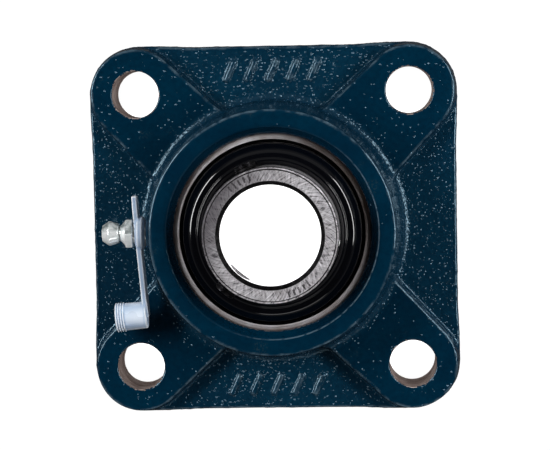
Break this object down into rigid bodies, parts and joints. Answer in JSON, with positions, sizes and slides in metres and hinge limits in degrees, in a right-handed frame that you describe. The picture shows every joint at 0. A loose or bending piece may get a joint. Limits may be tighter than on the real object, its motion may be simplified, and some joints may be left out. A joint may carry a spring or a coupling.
{
  "type": "flange mount bearing",
  "caption": "Square flanged bearing housing with a self-aligning insert ball bearing, seals, set screws, a grease nipple and a hinged dust cap.",
  "frame": {"origin": "centre of the square mounting face, on the shaft axis; the unit lies on its back", "axes": "+Z along the shaft axis, out of the boss; +X and +Y along the sides of the square, with the grease nipple on the -X side"},
  "size_m": [0.095, 0.095, 0.0358],
  "materials": {
    "housing_enamel": "gloss",
    "outer_ring_steel": "satin",
    "ground_steel": "satin",
    "ball_steel": "polished",
    "pressed_steel": "satin",
    "rivet_steel": "satin",
    "black_coat": "gloss",
    "seal_rubber": "matte",
    "screw_steel": "satin",
    "zinc_plate": "satin",
    "spring_steel": "satin",
    "milky_plastic": "satin"
  },
  "bodies": {
    "housing": {"housing": "housing_enamel", "grease_nipple": "zinc_plate", "nipple_spring": "spring_steel"},
    "outer_race": {"outer_ring": "outer_ring_steel", "seal_shroud_front": "pressed_steel", "seal_shroud_back": "pressed_steel", "seal_lip_front": "seal_rubber", "seal_lip_back": "seal_rubber"},
    "inner_race": {"inner_ring": "ground_steel", "flinger_front": "black_coat", "flinger_back": "black_coat"},
    "cage": {"cage_front": "pressed_steel", "cage_back": "pressed_steel", "cage_rivet_1": "rivet_steel", "cage_rivet_2": "rivet_steel", "cage_rivet_3": "rivet_steel", "cage_rivet_4": "rivet_steel", "cage_rivet_5": "rivet_steel", "cage_rivet_6": "rivet_steel", "cage_rivet_7": "rivet_steel", "cage_rivet_8": "rivet_steel", "cage_rivet_9": "rivet_steel"},
    "ball_1": {"ball_1": "ball_steel"},
    "ball_2": {"ball_2": "ball_steel"},
    "ball_3": {"ball_3": "ball_steel"},
    "ball_4": {"ball_4": "ball_steel"},
    "ball_5": {"ball_5": "ball_steel"},
    "ball_6": {"ball_6": "ball_steel"},
    "ball_7": {"ball_7": "ball_steel"},
    "ball_8": {"ball_8": "ball_steel"},
    "ball_9": {"ball_9": "ball_steel"},
    "set_screw_1": {"set_screw_1": "screw_steel"},
    "set_screw_2": {"set_screw_2": "screw_steel"},
    "nipple_valve": {"nipple_check_ball": "ball_steel"},
    "dust_cap": {"dust_cap": "milky_plastic"}
  },
  "joints": [
    {"name": "align_tilt", "type": "hinge", "parent": "housing", "child": "outer_race", "pos_m": [0, 0, 0.016], "axis": [0, 1, 0], "range_deg": [-5, 5]},
    {"name": "inner_spin", "type": "hinge", "parent": "outer_race", "child": "inner_race", "pos_m": [0, 0, 0.016], "axis": [0, 0, 1], "continuous": true},
    {"name": "cage_spin", "type": "hinge", "parent": "outer_race", "child": "cage", "pos_m": [0, 0, 0.016], "axis": [0, 0, 1], "continuous": true},
    {"name": "ball_1_spin", "type": "hinge", "parent": "cage", "child": "ball_1", "pos_m": [0.01952, 0, 0.016], "axis": [0, 0, 1], "continuous": true},
    {"name": "ball_2_spin", "type": "hinge", "parent": "cage", "child": "ball_2", "pos_m": [0.01495, 0.01255, 0.016], "axis": [0, 0, 1], "continuous": true},
    {"name": "ball_3_spin", "type": "hinge", "parent": "cage", "child": "ball_3", "pos_m": [0.00339, 0.01922, 0.016], "axis": [0, 0, 1], "continuous": true},
    {"name": "ball_4_spin", "type": "hinge", "parent": "cage", "child": "ball_4", "pos_m": [-0.00976, 0.0169, 0.016], "axis": [0, 0, 1], "continuous": true},
    {"name": "ball_5_spin", "type": "hinge", "parent": "cage", "child": "ball_5", "pos_m": [-0.01834, 0.00668, 0.016], "axis": [0, 0, 1], "continuous": true},
    {"name": "ball_6_spin", "type": "hinge", "parent": "cage", "child": "ball_6", "pos_m": [-0.01834, -0.00668, 0.016], "axis": [0, 0, 1], "continuous": true},
    {"name": "ball_7_spin", "type": "hinge", "parent": "cage", "child": "ball_7", "pos_m": [-0.00976, -0.0169, 0.016], "axis": [0, 0, 1], "continuous": true},
    {"name": "ball_8_spin", "type": "hinge", "parent": "cage", "child": "ball_8", "pos_m": [0.00339, -0.01922, 0.016], "axis": [0, 0, 1], "continuous": true},
    {"name": "ball_9_spin", "type": "hinge", "parent": "cage", "child": "ball_9", "pos_m": [0.01495, -0.01255, 0.016], "axis": [0, 0, 1], "continuous": true},
    {"name": "set_screw_1_travel", "type": "slide", "parent": "inner_race", "child": "set_screw_1", "axis": [-0.342, 0.9397, 0], "range_m": [-0.0015, 0.003]},
    {"name": "set_screw_2_travel", "type": "slide", "parent": "inner_race", "child": "set_screw_2", "axis": [-0.6428, -0.766, 0], "range_m": [-0.0015, 0.003]},
    {"name": "nipple_valve_travel", "type": "slide", "parent": "housing", "child": "nipple_valve", "axis": [1, 0, 0], "range_m": [0, 0.001], "stiffness_N_per_m": 150, "springref_m": -0.0005, "deforming": ["nipple_spring"]},
    {"name": "cap_swing", "type": "hinge", "parent": "housing", "child": "dust_cap", "pos_m": [-0.0342, 0, 0.02], "axis": [-1, 0, 0], "range_deg": [-3, 60]}
  ],
  "couplings": [
    {"joint": "cage_spin", "follows": "inner_spin", "ratio": 0.3983},
    {"joint": "ball_1_spin", "follows": "inner_spin", "ratio": -2.3575},
    {"joint": "ball_2_spin", "follows": "inner_spin", "ratio": -2.3575},
    {"joint": "ball_3_spin", "follows": "inner_spin", "ratio": -2.3575},
    {"joint": "ball_4_spin", "follows": "inner_spin", "ratio": -2.3575},
    {"joint": "ball_5_spin", "follows": "inner_spin", "ratio": -2.3575},
    {"joint": "ball_6_spin", "follows": "inner_spin", "ratio": -2.3575},
    {"joint": "ball_7_spin", "follows": "inner_spin", "ratio": -2.3575},
    {"joint": "ball_8_spin", "follows": "inner_spin", "ratio": -2.3575},
    {"joint": "ball_9_spin", "follows": "inner_spin", "ratio": -2.3575}
  ]
}
